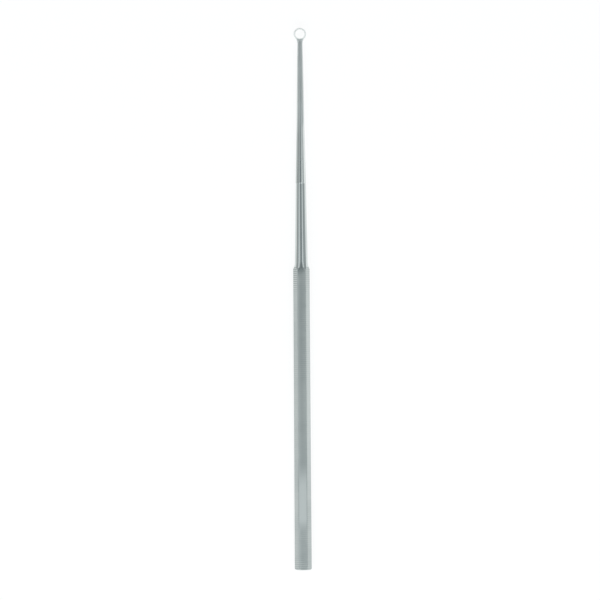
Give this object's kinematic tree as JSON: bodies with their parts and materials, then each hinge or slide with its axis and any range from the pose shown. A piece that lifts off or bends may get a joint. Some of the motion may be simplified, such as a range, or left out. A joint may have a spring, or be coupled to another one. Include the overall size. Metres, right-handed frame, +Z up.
{
  "type": "curette",
  "caption": "Straight ring curette: satin hexagonal handle, slim polished tapering shank and a small round open ring with a bevelled rim at the tip, in solid steel.",
  "frame": {"origin": "on the surface that the lower handle facet rests on, below the middle of the instrument's length and width", "axes": "+Y along the instrument towards the ring, +Z up through the ring's open bore, +X across the handle"},
  "size_m": [0.0052, 0.165, 0.0046],
  "materials": {
    "stainless_steel": "satin with fine brushing across the hexagonal handle, polished on the shank and the ring"
  },
  "bodies": {
    "root": {"curette": "stainless_steel"}
  },
  "joints": []
}
